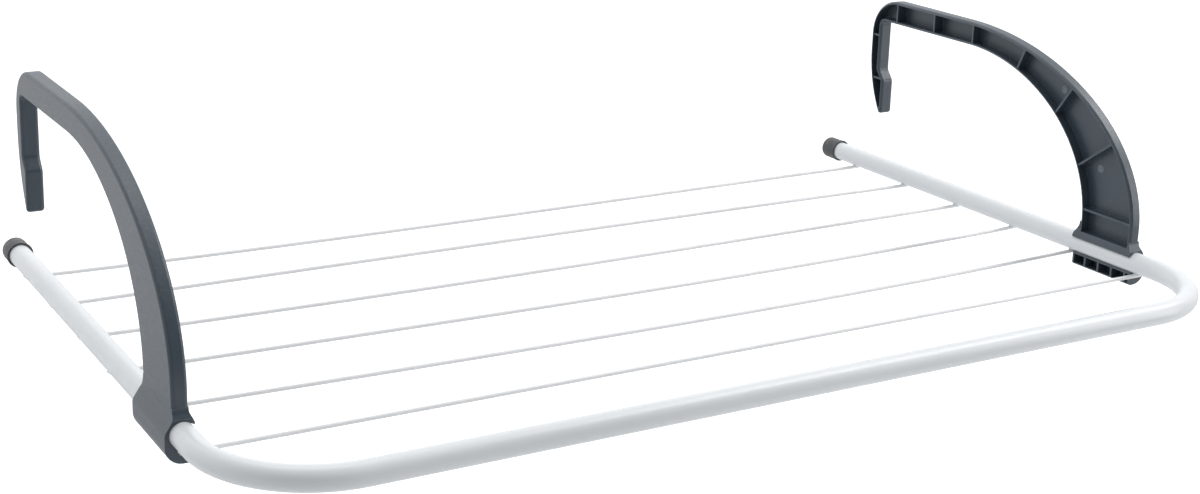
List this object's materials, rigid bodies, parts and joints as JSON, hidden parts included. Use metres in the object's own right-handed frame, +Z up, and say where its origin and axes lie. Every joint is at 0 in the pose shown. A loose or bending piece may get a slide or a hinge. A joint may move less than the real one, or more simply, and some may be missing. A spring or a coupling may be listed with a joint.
{
  "type": "hang-over drying rack",
  "caption": "Fold-down laundry drying rack: a bent tube frame strung with straight drying wires, carried by moulded hook arms that hang over a rail and fold flat over the wires.",
  "frame": {"origin": "midway between the two rail seats, on the level underside of the hook tops", "axes": "+X to the right along the front bar, +Y towards the rail or wall, +Z up"},
  "size_m": [0.784, 0.495, 0.1718],
  "materials": {
    "white_coat": "satin powder coat",
    "slate_plastic": "fine moulded texture",
    "dark_plastic": "matte"
  },
  "bodies": {
    "frame": {"frame_tube": "white_coat", "drying_wire_1": "white_coat", "drying_wire_2": "white_coat", "drying_wire_3": "white_coat", "drying_wire_4": "white_coat", "drying_wire_5": "white_coat", "drying_wire_6": "white_coat", "end_cap_left": "dark_plastic", "end_cap_right": "dark_plastic"},
    "left_arm": {"hook_arm_left": "slate_plastic"},
    "right_arm": {"hook_arm_right": "slate_plastic"}
  },
  "joints": [
    {"name": "left_arm_fold", "type": "hinge", "parent": "frame", "child": "left_arm", "pos_m": [-0.381, -0.236, -0.134], "axis": [0, 1, 0], "range_deg": [0, 90]},
    {"name": "right_arm_fold", "type": "hinge", "parent": "frame", "child": "right_arm", "pos_m": [0.381, -0.236, -0.134], "axis": [0, -1, 0], "range_deg": [0, 90]}
  ]
}
